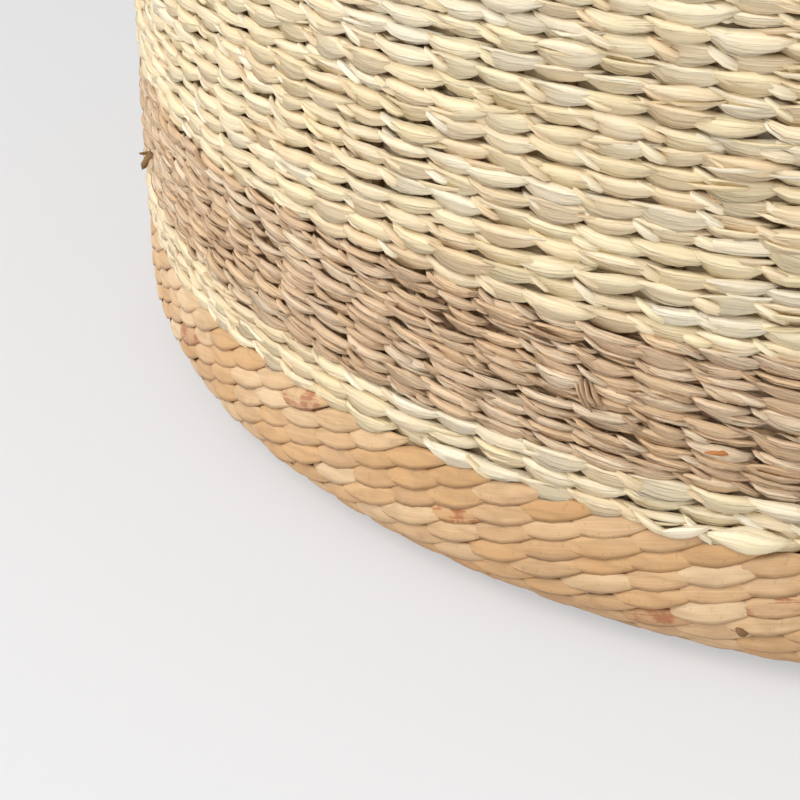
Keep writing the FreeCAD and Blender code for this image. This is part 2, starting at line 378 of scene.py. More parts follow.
def mix_colour(tree, amount, first, second, blend="MIX"):
    """Mix Color node; returns its colour output."""
    node = tree.nodes.new("ShaderNodeMix")
    node.data_type = "RGBA"
    node.blend_type = blend
    for socket, value in ((node.inputs[0], amount), (node.inputs[6], first), (node.inputs[7], second)):
        if isinstance(value, bpy.types.NodeSocket):
            tree.links.new(value, socket)
        else:
            socket.default_value = value
    return node.outputs[2]


def new_group(name, inputs, outputs):
    """Shader node group with named inputs (name, kind, default) and outputs (name, kind)."""
    group = bpy.data.node_groups.new(name, "ShaderNodeTree")
    for label, kind, default in inputs:
        socket = group.interface.new_socket(label, in_out="INPUT", socket_type=kind)
        socket.default_value = default
    for label, kind in outputs:
        group.interface.new_socket(label, in_out="OUTPUT", socket_type=kind)
    entry = group.nodes.new("NodeGroupInput")
    leave = group.nodes.new("NodeGroupOutput")
    return group, entry, leave


# %% Fibres and creases, shared by every strand
def build_leaf_grain():
    """Group: fibres along the strand, slanted creases across it, and cross cracks.

    Fibre = noise of (along * along scale, across * fibre count, leaf). Crease = how close a
    second noise, of (along * crease scale - across * slant, leaf), is to its middle value.
    """
    group, entry, leave = new_group(
        "leaf_grain",
        [("Along", "NodeSocketFloat", 60.0), ("Fibres", "NodeSocketFloat", 7.0),
         ("Crease Scale", "NodeSocketFloat", 120.0), ("Crease Slant", "NodeSocketFloat", 1.0),
         ("Cracks", "NodeSocketFloat", 0.0)],
        [("Fibre", "NodeSocketFloat"), ("Crease", "NodeSocketFloat"), ("Height", "NodeSocketFloat"),
         ("Edge", "NodeSocketFloat"), ("Leaf", "NodeSocketFloat"), ("Stain", "NodeSocketFloat")])
    uv = group.nodes.new("ShaderNodeUVMap")
    uv.uv_map = "strand"
    place = add_node(group, "ShaderNodeSeparateXYZ", _0=uv.outputs[0])
    along, across = place.outputs[0], place.outputs[1]
    leaf = group.nodes.new("ShaderNodeAttribute")
    leaf.attribute_name = "leaf"
    stain = group.nodes.new("ShaderNodeAttribute")
    stain.attribute_name = "stain"
    seed = math_node(group, "MULTIPLY", leaf.outputs["Fac"], 71.0)
    fibre_at = add_node(group, "ShaderNodeCombineXYZ",
                        X=math_node(group, "MULTIPLY", along, entry.outputs["Along"]),
                        Y=math_node(group, "MULTIPLY", across, entry.outputs["Fibres"]), Z=seed)
    fibre = add_node(group, "ShaderNodeTexNoise", Vector=fibre_at.outputs[0], Scale=1.0, Detail=4.0,
                     Roughness=0.65)
    slanted = math_node(group, "ADD", math_node(group, "MULTIPLY", along, entry.outputs["Crease Scale"]),
                        math_node(group, "MULTIPLY", across, entry.outputs["Crease Slant"]))
    crease_at = add_node(group, "ShaderNodeCombineXYZ", X=slanted,
                         Y=math_node(group, "MULTIPLY", across, 0.35), Z=seed)
    crease_noise = add_node(group, "ShaderNodeTexNoise", Vector=crease_at.outputs[0], Scale=1.0,
                            Detail=2.0, Roughness=0.5)
    from_middle = math_node(group, "ABSOLUTE", math_node(group, "SUBTRACT", crease_noise.outputs[0], 0.5))
    crease = math_node(group, "SUBTRACT", 1.0, math_node(group, "MULTIPLY", from_middle, 14.0), clamp=True)
    folds = math_node(group, "MULTIPLY", crease_noise.outputs[0], 1.6)
    height = math_node(group, "ADD", math_node(group, "MULTIPLY", fibre.outputs[0], 0.55), folds)
    height = math_node(group, "SUBTRACT", height, math_node(group, "MULTIPLY", crease, 0.35))
    crack_at = add_node(group, "ShaderNodeCombineXYZ", X=math_node(group, "MULTIPLY", along, 1500.0),
                        Y=math_node(group, "MULTIPLY", across, 1.2), Z=seed)
    crack = add_node(group, "ShaderNodeTexNoise", Vector=crack_at.outputs[0], Scale=1.0, Detail=1.0)
    crack = math_node(group, "SUBTRACT", crack.outputs[0], 0.66)
    crack = math_node(group, "MULTIPLY", crack, 12.0, clamp=True)
    crack = math_node(group, "MULTIPLY", crack, entry.outputs["Cracks"])
    crease = math_node(group, "MAXIMUM", crease, crack)
    height = math_node(group, "SUBTRACT", height, crack)
    edge = math_node(group, "POWER", math_node(group, "ABSOLUTE", across), 6.0)
    for label, value in (("Fibre", fibre.outputs[0]), ("Crease", crease), ("Height", height),
                         ("Edge", edge), ("Leaf", leaf.outputs["Fac"]), ("Stain", stain.outputs["Fac"])):
        group.links.new(value, leave.inputs[label])
    return group


LEAF_GRAIN = build_leaf_grain()


# %% Shade of each leaf
def build_leaf_shade():
    """Group: colour from four tones, chosen by leaf and modulated by fibre and patches, with painted shade
    darkening creases, cracks and leaf edges.
    """
    group, entry, leave = new_group(
        "leaf_shade",
        [(label, "NodeSocketColor", (0.5, 0.5, 0.5, 1)) for label in ("Deep", "Main", "Pale", "Tinge")]
        + [("Leaf", "NodeSocketFloat", 0.5), ("Fibre", "NodeSocketFloat", 0.5),
           ("Crease", "NodeSocketFloat", 0.0), ("Edge", "NodeSocketFloat", 0.0),
           ("Stain", "NodeSocketFloat", 0.0), ("Streak", "NodeSocketFloat", 0.5)],
        [("Color", "NodeSocketColor"), ("Patch", "NodeSocketFloat")])
    where = group.nodes.new("ShaderNodeTexCoord")
    patch = add_node(group, "ShaderNodeTexNoise", Vector=where.outputs["Object"], Scale=260.0, Detail=3.0)
    broad = add_node(group, "ShaderNodeTexNoise", Vector=where.outputs["Object"], Scale=22.0, Detail=2.0)
    out = entry.outputs
    fine = math_node(group, "MULTIPLY_ADD", math_node(group, "SUBTRACT", out["Fibre"], 0.5), out["Streak"],
                     math_node(group, "MULTIPLY", math_node(group, "SUBTRACT", patch.outputs[0], 0.5), 0.5))
    fine = math_node(group, "ADD", fine, math_node(group, "MULTIPLY",
                     math_node(group, "SUBTRACT", broad.outputs[0], 0.5), 0.5))
    level = math_node(group, "ADD", out["Leaf"], fine)
    to_main = math_node(group, "MULTIPLY", level, 2.0, clamp=True)
    to_pale = math_node(group, "MULTIPLY", math_node(group, "SUBTRACT", level, 0.5), 2.0, clamp=True)
    colour = mix_colour(group, to_main, out["Deep"], out["Main"])
    colour = mix_colour(group, to_pale, colour, out["Pale"])
    tinge = math_node(group, "GREATER_THAN", math_node(group, "FRACT",
                      math_node(group, "MULTIPLY", out["Leaf"], 13.7)), 0.62)
    in_patches = math_node(group, "MULTIPLY", patch.outputs[0], 1.1)
    tinge = math_node(group, "MULTIPLY", tinge, in_patches, clamp=True)
    colour = mix_colour(group, tinge, colour, out["Tinge"])
    # painted shade: creases, cracks and leaf edges are darkened towards dark brown, as shade falls in the
    # folds and where leaves meet their neighbours
    edge_shade = math_node(group, "MULTIPLY", out["Edge"], 0.26)
    dark = math_node(group, "MULTIPLY_ADD", out["Crease"], 0.22, edge_shade)
    colour = mix_colour(group, dark, colour, (0.20, 0.11, 0.05, 1))
    torn = math_node(group, "ADD", math_node(group, "MULTIPLY", patch.outputs[0], 1.0),
                     math_node(group, "MULTIPLY", out["Fibre"], 0.9))
    scar = math_node(group, "MULTIPLY", math_node(group, "SUBTRACT", torn, 0.92), 9.0, clamp=True)
    scar = math_node(group, "MULTIPLY", scar, out["Stain"], clamp=True)
    colour = mix_colour(group, math_node(group, "MULTIPLY", scar, 0.75), colour, (0.38, 0.10, 0.035, 1))
    group.links.new(colour, leave.inputs["Color"])
    group.links.new(patch.outputs[0], leave.inputs["Patch"])
    return group


LEAF_SHADE = build_leaf_shade()


# %% One material for each kind of leaf
def linear(red, green, blue):
    """A colour written in 0 to 255 display values, as linear light."""
    c = np.array([red, green, blue]) / 255
    return tuple(np.where(c <= 0.04045, c / 12.92, ((c + 0.055) / 1.055) ** 2.4)) + (1.0,)


def leaf_material(name, deep, main, pale, tinge, along, fibres, crease, slant, streak, rough, bump,
                  cracks=0.0):
    """Dried leaf: four tones, with fibre and crease scales, roughness and depth of relief."""
    material = bpy.data.materials.new(name)
    material.use_nodes = True
    tree = material.node_tree
    shader = tree.nodes["Principled BSDF"]
    grain = add_node(tree, "ShaderNodeGroup")
    grain.node_tree = LEAF_GRAIN
    for label, value in (("Along", along), ("Fibres", fibres), ("Crease Scale", crease),
                         ("Crease Slant", slant), ("Cracks", cracks)):
        grain.inputs[label].default_value = value
    shade = add_node(tree, "ShaderNodeGroup")
    shade.node_tree = LEAF_SHADE
    for label, value in (("Deep", deep), ("Main", main), ("Pale", pale), ("Tinge", tinge)):
        shade.inputs[label].default_value = linear(*value)
    shade.inputs["Streak"].default_value = streak
    for label in ("Leaf", "Fibre", "Crease", "Edge", "Stain"):
        tree.links.new(grain.outputs[label], shade.inputs[label])
    tree.links.new(shade.outputs["Color"], shader.inputs["Base Color"])
    roughness = math_node(tree, "MULTIPLY_ADD", grain.outputs["Fibre"], 0.3, rough - 0.15)
    tree.links.new(roughness, shader.inputs["Roughness"])
    shader.inputs["Specular IOR Level"].default_value = 0.4
    relief = add_node(tree, "ShaderNodeBump", Strength=1.0, Distance=bump, Height=grain.outputs["Height"])
    tree.links.new(relief.outputs[0], shader.inputs["Normal"])
    return material


HYACINTH_LEAF = leaf_material("hyacinth_leaf", (202, 160, 114), (220, 183, 138), (231, 201, 160),
                              (210, 162, 106), along=28, fibres=11, crease=50, slant=0.2,
                              streak=1.5, rough=0.55, bump=0.00016, cracks=0.5)
CREAM_LEAF = leaf_material("cream_leaf", (238, 211, 170), (251, 232, 194), (254, 244, 219), (246, 228, 183),
                           along=40, fibres=6, crease=70, slant=1.3, streak=0.9, rough=0.55, bump=0.00022)
BROWN_LEAF = leaf_material("brown_leaf", (208, 174, 136), (233, 201, 165), (246, 224, 192), (234, 198, 154),
                           along=60, fibres=6, crease=140, slant=1.6, streak=1.2, rough=0.6, bump=0.00036)
ORANGE_LEAF = leaf_material("orange_leaf", (184, 116, 62), (204, 138, 80), (216, 164, 110), (186, 112, 56),
                            along=60, fibres=6, crease=90, slant=1.2, streak=1.2, rough=0.6, bump=0.0002)
STALK = leaf_material("stalk", (120, 88, 56), (158, 122, 80), (186, 152, 108), (140, 112, 66),
                      along=60, fibres=6, crease=40, slant=0.3, streak=1.0, rough=0.7, bump=0.0002)
print("materials", [m.name for m in bpy.data.materials])

# %% [markdown]
# ## The woven wall and base
# A piece may not grow too large, so the rows of one band are cut into groups of a few rows.
# Each group stands for the smooth shells of the frame and rides on the basket.

# %% Weave the bands
ROWS_PER_PIECE = 12


def finish_piece(piece, material, body="basket", nodes=()):
    """Give a piece its material, the body it rides on and the nodes it stands for."""
    piece.data.materials.append(material)
    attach(piece, body)
    if nodes:
        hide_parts(*nodes)
    return piece


def leaf_shades(rows, stakes, leaf_length):
    """Shade 0 to 1 of every float: mostly that of a long leaf, which lasts for a few stakes."""
    leaf = rng.random((rows, stakes // leaf_length + 2))
    joint = rng.integers(0, leaf_length, (rows, 1))
    of_leaf = np.take_along_axis(leaf, (np.arange(stakes)[None] + joint) // leaf_length, 1)
    return (0.45 * rng.random((rows, stakes)) + 0.55 * of_leaf).ravel()


def weave_band(name, rows, stakes, style, material, nodes, overlays=(), stained=()):
    """Weave a band as pieces of at most ROWS_PER_PIECE rows: outside, inside and overlays."""
    for part, first in enumerate(range(0, len(rows), ROWS_PER_PIECE)):
        chosen = rows[first:first + ROWS_PER_PIECE]
        distance = np.repeat(chosen, stakes)
        layers = []
        for side, look in ((1, style), (-1, dict(style, **INSIDE))):
            shift = rng.uniform(-style["row_shift"], style["row_shift"], len(chosen))
            place = (np.arange(stakes)[None] + shift[:, None]).ravel()
            place = place + rng.normal(0, style["stagger"], len(place))
            stain = np.zeros((len(rows), stakes))
            for row, stake in stained if side > 0 else ():
                stain[row, stake % stakes] = 1.0
            stain = stain[first:first + len(chosen)].ravel()
            shade = leaf_shades(len(chosen), stakes, style["leaf_length"])
            layers.append(leaf_layer(distance, place, stakes, look, side, shade, stain))
        for look, share, offset, spread in overlays:
            kept = rng.random(len(distance)) < share
            place = np.tile(np.arange(stakes), len(chosen))[kept] + offset
            place = place + rng.normal(0, spread, len(place))
            shade = rng.random(len(place))
            layers.append(leaf_layer(distance[kept], place, stakes, look, 1, shade, shade * 0))
        piece = leaf_piece("%s_rows_%d" % (name, part + 1), layers)
        finish_piece(piece, material, nodes=nodes)


def row_and_stake(rows, degrees, height):
    """Nearest row and stake to a place: degrees counter-clockwise from +X, height in metres."""
    row = int(np.argmin(np.abs(stake_line(rows)[1] - height)))
    return row, round(degrees / 360 * STAKES)


# small reddish scars of the hyacinth: degrees round the basket, height in metres
SCARS = ((245, 0.020), (256, 0.012), (264, 0.021), (231, 0.027), (215, 0.018), (120, 0.015),
         (40, 0.022), (310, 0.010), (170, 0.024))
weave_band("foot", FOOT_ROWS, STAKES, HYACINTH, HYACINTH_LEAF,
           ("hyacinth_outer_weft", "hyacinth_inner_weft"),
           stained=[row_and_stake(FOOT_ROWS, *place) for place in SCARS])
weave_band("lower_cream", LOWER_CREAM_ROWS, STAKES, CREAM, CREAM_LEAF,
           ("lower_cream_outer_weft", "lower_cream_inner_weft"), CREAM_OVERLAYS)
weave_band("brown", BROWN_ROWS, STAKES, BROWN, BROWN_LEAF,
           ("brown_outer_weft", "brown_inner_weft"), BROWN_OVERLAYS)
weave_band("upper_cream", UPPER_ROWS, STAKES, CREAM, CREAM_LEAF,
           ("upper_cream_outer_weft", "upper_cream_inner_weft",
            "rim_course_outer_weft", "rim_course_inner_weft"), CREAM_OVERLAYS)

# %% [markdown]
# ## Odd leaves
# No two leaves are alike, and a maker tucks in the ends as they come. A few stand out: a wide
# leaf folded over the edge of the foot band, a loop beside it, an orange leaf and a tuft of
# cut ends in the brown band, and a dark frayed end at the side. Each is one more float, laid
# where it belongs, with its own size and lean.

# %% Lay the odd leaves
def odd_leaf(name, degrees, up_wall, material, slot, shade=0.5, count=1, **changes):
    """Extra floats at a place: the cream style with some of its values changed."""
    style = {**CREAM, "length_spread": 0.06, "wander": 0.0, "proud": 0.0, "fold": 0.0, **changes}
    distance = np.full(count, distance_at_height(up_wall)) + rng.normal(0, 0.0003, count) * (count > 1)
    place = np.full(count, degrees / 360 * STAKES) + rng.normal(0, 0.12, count) * (count > 1)
    one = np.ones(count)
    layer = leaf_layer(distance, place, STAKES, style, 1, shade * one, 0 * one)
    finish_piece(leaf_piece(name, [layer]), material)


odd_leaf("wide_folded_leaf", 262, 0.0318, CREAM_LEAF, "cream", 0.80, length=1.8, height=0.0056,
         depth=0.0034, tilt=0.0008, rings=9, dome=0.0009, point=1.5, point_left=1.5, hook=0.0)
odd_leaf("leaf_loop_upper", 256.7, 0.0306, CREAM_LEAF, "cream", 0.85, length=0.80, height=0.0024,
         depth=0.0036, tilt=-0.0036, rings=7, hook=0.0)
odd_leaf("leaf_loop_lower", 258.6, 0.0308, CREAM_LEAF, "cream", 0.75, length=1.0, height=0.0024,
         depth=0.0036, tilt=0.0040, rings=7, hook=0.0)
odd_leaf("foot_torn_end", 262, 0.0125, STALK, "hyacinth", 0.1, length=0.34, height=0.0020,
         depth=0.0034, tilt=-0.0020, rings=5, hook=0.0)
odd_leaf("orange_leaf", 260, 0.0483, ORANGE_LEAF, "brown", 0.5, length=0.75, height=0.0017,
         depth=0.0030, tilt=0.0002, rings=7, hook=0.0)
odd_leaf("tuft_of_ends", 253, 0.0541, BROWN_LEAF, "brown", 0.45, 6, length=0.30, height=0.0011,
         depth=0.0040, tilt=-0.0110, tilt_spread=0.0060, dive=1.2, sink_left=0.0016,
         sink_right=0.0001, hook=0.0)
odd_leaf("side_frayed_end", 206, 0.0490, STALK, "brown", 0.50, 3, length=0.26, height=0.0003,
         depth=0.0042, tilt=-0.0050, tilt_spread=0.0060, dive=1.0, sink_left=0.0020,
         sink_right=-0.0012, hook=0.0)

# %% Weave the base
base_zones = ((DISC_RADIUS, ADDED_STAKE_START, BASE_STAKES),
              (ADDED_STAKE_START, WALL_STAKE_START, 2 * BASE_STAKES),
              (WALL_STAKE_START, CORNER_CENTRE, STAKES))
for zone, (start, end, stakes) in enumerate(base_zones):
    weave_band("base_zone_%d" % (zone + 1), row_centres(start - CORNER_CENTRE, end - CORNER_CENTRE, 0.0043),
               stakes, BASE, HYACINTH_LEAF, ("base_outer_weft", "base_inner_weft"))

# %% [markdown]
# ## Strands along any path
# The rim, the handles and their lashings are strands wound round a core. A strand here is a
# flattened ring carried along a path: the path says where, one direction says which way the
# strand is wide, and another which way it is thick.

# %% Strands along a path
def unit(vectors):
    """Vectors of length one."""
    return vectors / np.maximum(np.linalg.norm(vectors, axis=-1, keepdims=True), 1e-12)


def strand_points(path, facing, width, thick, sides, closed=False):
    """Rings (..., ring, side, 3): centre + width/2 cos * wide + thick/2 sin * facing.

    The wide direction is square to the path's own direction and to the facing direction.
    """
    ahead = np.roll(path, -1, -2) - np.roll(path, 1, -2)
    if not closed:
        ahead = np.gradient(path, axis=-2)
    wide = unit(np.cross(unit(ahead), facing))
    turn = 2 * math.pi * (np.arange(sides) + 0.5) / sides
    width = np.broadcast_to(width, path.shape[:-1])[..., None, None]
    thick = np.broadcast_to(thick, path.shape[:-1])[..., None, None]
    return (path[..., None, :] + width / 2 * np.cos(turn)[:, None] * wide[..., None, :]
            + thick / 2 * np.sin(turn)[:, None] * facing[..., None, :])


def strand_piece(name, points, closed, shade=None):
    """Mesh of tubes (tube, ring, side, 3), with open ends drawn together to a point."""
    tubes, rings, sides, _ = points.shape
    if not closed:
        points[:, (0, -1)] = points[:, (0, -1)].mean(2, keepdims=True)
    quads = tube_faces(tubes, rings, sides, closed)
    spans = quads.shape[1]
    centres = points.mean(2)
    steps = np.linalg.norm(np.diff(centres, axis=1, append=centres[:, :1]), axis=-1)
    along = np.concatenate([np.zeros((tubes, 1)), np.cumsum(steps, 1)], 1) + rng.uniform(0, 5, (tubes, 1))
    across = np.cos(2 * math.pi * (np.arange(sides) + 0.5) / sides)
    u0 = np.broadcast_to(along[:, :spans, None], (tubes, spans, sides))
    u1 = np.broadcast_to(along[:, 1:spans + 1, None], (tubes, spans, sides))
    v0 = np.broadcast_to(across, u0.shape)
    v1 = np.broadcast_to(np.roll(across, -1), u0.shape)
    uv = np.stack([np.stack([u0, v0], -1), np.stack([u1, v0], -1), np.stack([u1, v1], -1),
                   np.stack([u0, v1], -1)], -2)
    if shade is None:
        shade = rng.random((tubes, 1)) * np.ones((1, spans))
    leaf = np.broadcast_to(shade[:, :spans, None], (tubes, spans, sides))
    piece = mesh_piece(name, points.reshape(-1, 3), quads.reshape(-1, 4), uv.reshape(-1, 4, 2), leaf.ravel())
    close_ends(piece, closed)
    return piece


def close_ends(piece, closed):
    """Merge the gathered end rings into poles and turn every face outwards."""
    soft = bmesh.new()
    soft.from_mesh(piece.data)
    if not closed:
        bmesh.ops.remove_doubles(soft, verts=soft.verts, dist=1e-7)
    bmesh.ops.recalc_face_normals(soft, faces=soft.faces)
    soft.to_mesh(piece.data)
    soft.free()


# %% Winding round a core
def wound(path, side, up, turns, radius, per_turn, start=0.0):
    """Path that winds round a core line, and the way out from the core at each point.

    The core line is given at any resolution as points with two directions square to it.
    The strand's centre = core + radius * (cos * side + sin * up), angle = 2 pi * turns * share.
    """
    count = int(round(turns * per_turn))
    share = np.arange(count + 1) / count
    at = share * (len(path) - 1)
    def read(values):
        return np.stack([np.interp(at, np.arange(len(path)), values[:, k]) for k in range(3)], -1)
    angle = (2 * math.pi * turns * share + start)[:, None]
    out = unit(np.cos(angle) * read(side) + np.sin(angle) * read(up))
    return read(path) + radius * out, out


# %% [markdown]
# ## Rim
# A hoop is laid on the last row and a leaf strand is wound round it, each turn lapping the
# one before. The number of turns is whole, so the winding closes on itself.

# %% Rim winding
theta = np.linspace(0, 2 * math.pi, 1441)
flat = np.zeros_like(theta)
rim_line = np.stack([RIM_RADIUS * np.cos(theta), RIM_RADIUS * np.sin(theta), flat + RIM_HEIGHT], -1)
rim_side = np.stack([np.cos(theta), np.sin(theta), flat], -1)
rim_up = np.stack([flat, flat, flat + 1], -1)
RIM_TURNS = 212
RIM_TURN_RINGS = 14                          # rings of points in one turn of the strand
RIM_STRAND_WIDTH = 0.0066
RIM_STRAND_THICKNESS = 0.0016
path, out = wound(rim_line, rim_side, rim_up, RIM_TURNS, RIM_THICKNESS - 0.0007, RIM_TURN_RINGS)
path, out = path[:-1], out[:-1]
spread = np.repeat(rng.normal(1, 0.10, RIM_TURNS), RIM_TURN_RINGS)
lap = 0.0004 * np.sin(np.arange(len(path)) * 0.37)[:, None]
points = strand_points((path + out * lap)[None], out[None], RIM_STRAND_WIDTH * spread[None],
                       RIM_STRAND_THICKNESS, 6, True)
shade = np.repeat(rng.random(RIM_TURNS), RIM_TURN_RINGS)[None]
piece = strand_piece("rim_winding", points, True, shade)
finish_piece(piece, CREAM_LEAF, nodes=("rim_wrap",))
print("rim winding", 2 * len(piece.data.polygons), "triangles")

# %% [markdown]
# ## Handles
# Each handle is a bundle of stalks bent to an arch and wound with hyacinth. At each foot an
# eye of twisted cord goes round the rim, and a lashing of thin cord closes it on the leg.

# %% Measures of a handle
wrap_low, wrap_high = low_high("front_handle_wrap")
eye_low, eye_high = low_high("front_handle_right_eye")
lash_high = low_high("front_handle_right_lashing")[1]
HANDLE_RADIUS = (wrap_high[1] - wrap_low[1]) / 2
HANDLE_REACH = wrap_high[0] - HANDLE_RADIUS              # from the middle to each leg
HANDLE_Y = (wrap_high[1] + wrap_low[1]) / 2
SHOULDER = wrap_high[2] - HANDLE_RADIUS - HANDLE_REACH   # height where the arch starts
EYE_RADIUS = (eye_high[1] - eye_low[1]) / 2
EYE_CORD = 0.0028
HANDLE_PITCH = 0.0052                        # from one turn of the winding to the next
HANDLE_TURN_RINGS = 12
HANDLE_STRAND_WIDTH = 0.0064
HANDLE_STRAND_THICKNESS = 0.0015
LASHING_CORD = 0.0013
LEG_FOOT = wrap_low[2]
LASHING_TOP = lash_high[2]
print("handle: reach %.1f, shoulder %.1f mm" % (HANDLE_REACH * 1e3, SHOULDER * 1e3))


def handle_line(count, foot):
    """Points up the left leg, round the arch and down the right leg, evenly spaced."""
    leg = SHOULDER - foot
    total = 2 * leg + math.pi * HANDLE_REACH
    run = np.linspace(0, total, count)
    angle = np.clip((run - leg) / HANDLE_REACH, 0, math.pi)
    x = -HANDLE_REACH * np.cos(angle)
    past_arch = np.maximum(run - leg - math.pi * HANDLE_REACH, 0)
    z = SHOULDER + HANDLE_REACH * np.sin(angle) - np.maximum(leg - run, 0) - past_arch
    points = np.stack([x, np.full(count, HANDLE_Y), z], -1)
    side = np.stack([np.cos(angle), np.zeros(count), -np.sin(angle)], -1) * -1
    up = np.broadcast_to(np.array([0.0, -1.0, 0.0]), points.shape)
    return points, side, up, total


def half_turn(points):
    """Turned half round the vertical axis, for the back handle."""
    return points * np.array([-1.0, -1.0, 1.0])


# %% Make both handles
def make_handle(where):
    """Winding, eyes and lashings of one handle, from the frame's places."""
    body = where + "_handle"
    place = half_turn if where == "back" else (lambda points: points)
    line, side, up, length = handle_line(600, LEG_FOOT)
    turns = round(length / HANDLE_PITCH)
    path, out = wound(line, side, up, turns, HANDLE_RADIUS - 0.0006, HANDLE_TURN_RINGS)
    count = len(path)
    spread = np.repeat(rng.normal(1, 0.07, turns), HANDLE_TURN_RINGS)
    spread = np.append(spread, spread[-1])
    shade = np.append(np.repeat(rng.random(turns), HANDLE_TURN_RINGS), 0.5)[None]
    points = strand_points(path[None], out[None], HANDLE_STRAND_WIDTH * spread[None],
                           HANDLE_STRAND_THICKNESS, 6)
    piece = strand_piece(body + "_winding", place(points), False, shade)
    finish_piece(piece, HYACINTH_LEAF, body, (body + "_wrap",))
    for label, sign in (("left", -1), ("right", 1)):
        make_eye(body, label, sign, place)
        make_lashing(body, label, sign, place)
    print(body, "winding of", turns, "turns,", count, "rings")


def make_eye(body, label, sign, place):
    """Two cords twisted round each other, round the rim, with their neck up into the leg."""
    angle = np.linspace(0, 2 * math.pi, 241)
    zero = np.zeros_like(angle)
    middle = EYE_RADIUS - EYE_CORD
    centre = np.array([sign * HANDLE_REACH, HANDLE_Y, RIM_HEIGHT])
    ring = centre + np.stack([zero, middle * np.sin(angle), -middle * np.cos(angle)], -1)
    out = np.stack([zero, np.sin(angle), -np.cos(angle)], -1)
    across = np.stack([zero + 1, zero, zero], -1)
    cords = []
    for start in (0.0, math.pi):
        path, facing = wound(ring, out, across, 9, EYE_CORD * 0.46, 12, start)
        cords.append(strand_points(path[None, :-1], facing[None, :-1], 0.0030, 0.0028, 6, True))
    neck_height = np.linspace(middle - 0.001, LEG_FOOT - RIM_HEIGHT + 0.008, 241)
    neck_line = centre + np.stack([zero, zero, neck_height], -1)
    neck_side = np.broadcast_to(np.array([1.0, 0, 0]), neck_line.shape)
    neck_up = np.broadcast_to(np.array([0, 1.0, 0]), neck_line.shape)
    ring_piece = strand_piece("%s_%s_eye_cord" % (body, label), place(np.concatenate(cords)), True)
    finish_piece(ring_piece, STALK, body, ("%s_%s_eye" % (body, label),))
    necks = []
    for start in (0.0, math.pi):
        path, facing = wound(neck_line, neck_side, neck_up, 1.5, 0.0014, 16, start)
        necks.append(strand_points(path[None], facing[None], 0.0032, 0.0030, 6))
    neck = strand_piece("%s_%s_eye_neck" % (body, label), place(np.concatenate(necks)), False)
    finish_piece(neck, STALK, body)


def make_lashing(body, label, sign, place):
    """Thin cord wound closely round the foot of the leg."""
    height = LASHING_TOP - LEG_FOOT
    turns = int(height / LASHING_CORD)
    share = np.linspace(0, 1, 101)
    zero = np.zeros_like(share)
    line = np.stack([zero + sign * HANDLE_REACH, zero + HANDLE_Y,
                     LEG_FOOT + LASHING_CORD / 2 + (height - LASHING_CORD) * share], -1)
    side = np.stack([zero + 1, zero, zero], -1)
    up = np.stack([zero, zero + 1, zero], -1)
    path, out = wound(line, side, up, turns, HANDLE_RADIUS + 0.0001 + LASHING_CORD / 2, 20)
    points = strand_points(path[None], out[None], LASHING_CORD * 1.02, LASHING_CORD, 6)
    piece = strand_piece("%s_%s_lashing_cord" % (body, label), place(points), False)
    finish_piece(piece, STALK, body, ("%s_%s_lashing" % (body, label),))


for where in ("front", "back"):
    make_handle(where)

# %% [markdown]
# ## Centre of the base
# The base starts from one strand coiled flat, and the first stakes leave from its edge.

# %% Coiled centre
spiral_turns = 3.4
share = np.linspace(0, 1, 190)
first_radius = 0.0008                        # the strand itself covers the very centre
coil_pitch = (DISC_RADIUS - first_radius) / (spiral_turns + 0.5)
angle = 2 * math.pi * (spiral_turns + 1) * share
radius = np.minimum(first_radius + coil_pitch * angle / (2 * math.pi), DISC_RADIUS - coil_pitch / 2)
coil = np.stack([radius * np.cos(angle), radius * np.sin(angle), np.full_like(share, WALL / 2)], -1)
facing = np.stack([np.cos(angle), np.sin(angle), np.zeros_like(angle)], -1)
points = strand_points(coil[None], facing[None], WALL * 0.94, coil_pitch * 1.02, 10)
piece = strand_piece("base_coil", points, False)
finish_piece(piece, HYACINTH_LEAF, nodes=("base_centre_disc",))

# %% Finish for the frame's own pieces
def give_stalk_finish(node):
    """The frame's own rods keep their mesh, and get the stalk material on it."""
    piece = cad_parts[node]
    piece.data.materials.clear()
    piece.data.materials.append(ROD_STALK)


def rod_material():
    """Dried stalk read from object coordinates, for rods that have no strand coordinates."""
    material = bpy.data.materials.new("rod_stalk")
    material.use_nodes = True
    tree = material.node_tree
    shader = tree.nodes["Principled BSDF"]
    where = tree.nodes.new("ShaderNodeTexCoord")
    noise = add_node(tree, "ShaderNodeTexNoise", Vector=where.outputs["Object"], Scale=400.0, Detail=4.0)
    shade = add_node(tree, "ShaderNodeGroup")
    shade.node_tree = LEAF_SHADE
    for label, value in (("Deep", (92, 66, 42)), ("Main", (134, 102, 68)), ("Pale", (160, 128, 90)),
                         ("Tinge", (120, 96, 58))):
        shade.inputs[label].default_value = linear(*value)
    tree.links.new(noise.outputs[0], shade.inputs["Fibre"])
    shade.inputs["Streak"].default_value = 1.4
    tree.links.new(shade.outputs["Color"], shader.inputs["Base Color"])
    shader.inputs["Roughness"].default_value = 0.75
    relief = add_node(tree, "ShaderNodeBump", Strength=0.8, Distance=0.0002, Height=noise.outputs[0])
    tree.links.new(relief.outputs[0], shader.inputs["Normal"])
    return material


ROD_STALK = rod_material()
for node in ("wall_stakes", "base_stakes", "base_added_stakes", "rim_hoop", "front_handle_core",
             "back_handle_core"):
    give_stalk_finish(node)

# %% [markdown]
# ## Floor, light and camera
# A plain pale floor that ends in a backdrop of its own tone, a soft even sky, and one large
# lamp from the upper left. The camera stands close in front, to the right of what it looks
# at, and looks down at the lower left of the basket.

